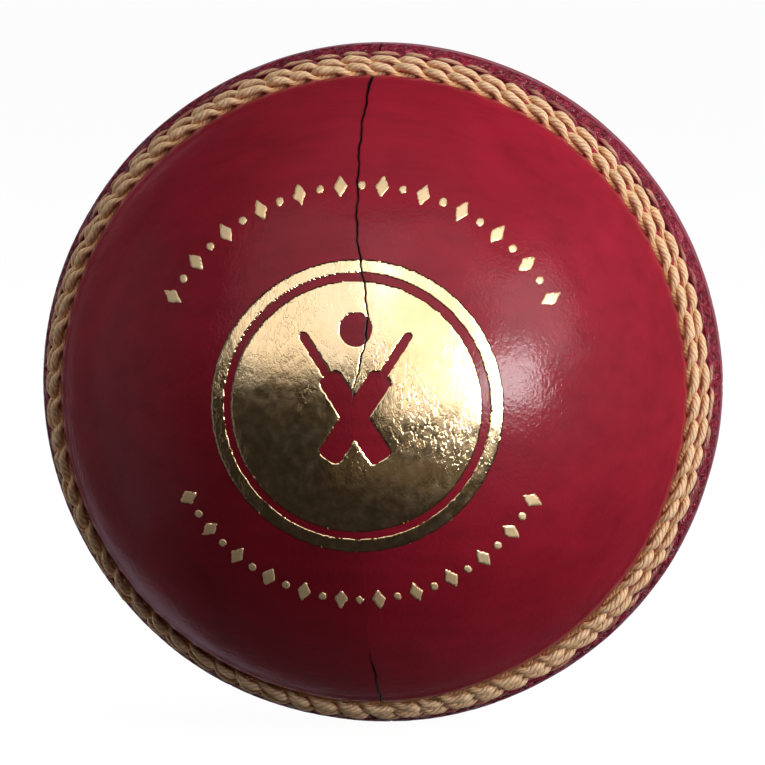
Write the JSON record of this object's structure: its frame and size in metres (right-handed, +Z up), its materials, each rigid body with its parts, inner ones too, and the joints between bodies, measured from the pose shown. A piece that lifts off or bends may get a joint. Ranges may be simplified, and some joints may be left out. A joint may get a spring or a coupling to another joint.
{
  "type": "cricket ball",
  "caption": "Hand-stitched red leather cricket ball: composition nucleus, cork and yarn quilt, quartered leather cover with a raised stitched main seam and a plain gold foil crest.",
  "frame": {"origin": "the centre of the ball", "axes": "+Y runs along the ball's axis from the crest's pole to the plain pole, so the crest faces -Y and the main seam lies in the XZ plane; +Z is up, the main seam stands upright and the front cup's quarter seam lies in the YZ plane"},
  "size_m": [0.0728, 0.071, 0.0728],
  "materials": {
    "red_leather": "alum-tanned leather dyed deep red, polished and lacquered to a gloss",
    "linen_thread": "waxed linen thread, straw coloured, twisted in plies",
    "cork": null,
    "worsted_yarn": "worsted wool yarn, wound tight and damp",
    "core_composition": "cork granules bonded in dark rubber",
    "gold_foil": "hot-stamped gold foil, bright, creased by the grain under it"
  },
  "bodies": {
    "root": {"core_nucleus": "core_composition", "cork_cup_1a": "cork", "cork_cup_1b": "cork", "yarn_winding_1": "worsted_yarn", "cork_cup_2a": "cork", "cork_cup_2b": "cork", "yarn_winding_2": "worsted_yarn", "cork_cup_3a": "cork", "cork_cup_3b": "cork", "yarn_winding_3": "worsted_yarn", "cork_cup_4a": "cork", "cork_cup_4b": "cork", "yarn_winding_4": "worsted_yarn", "cork_cup_5a": "cork", "cork_cup_5b": "cork", "yarn_winding_5": "worsted_yarn", "leather_quarter_front_left": "red_leather", "leather_quarter_front_right": "red_leather", "leather_quarter_back_top": "red_leather", "leather_quarter_back_bottom": "red_leather", "quarter_seam_thread_front": "linen_thread", "quarter_seam_thread_back": "linen_thread", "stitch_row_front_closing": "linen_thread", "stitch_row_front_middle": "linen_thread", "stitch_row_front_outer": "linen_thread", "stitch_row_back_closing": "linen_thread", "stitch_row_back_middle": "linen_thread", "stitch_row_back_outer": "linen_thread", "foil_crest": "gold_foil"}
  },
  "joints": []
}
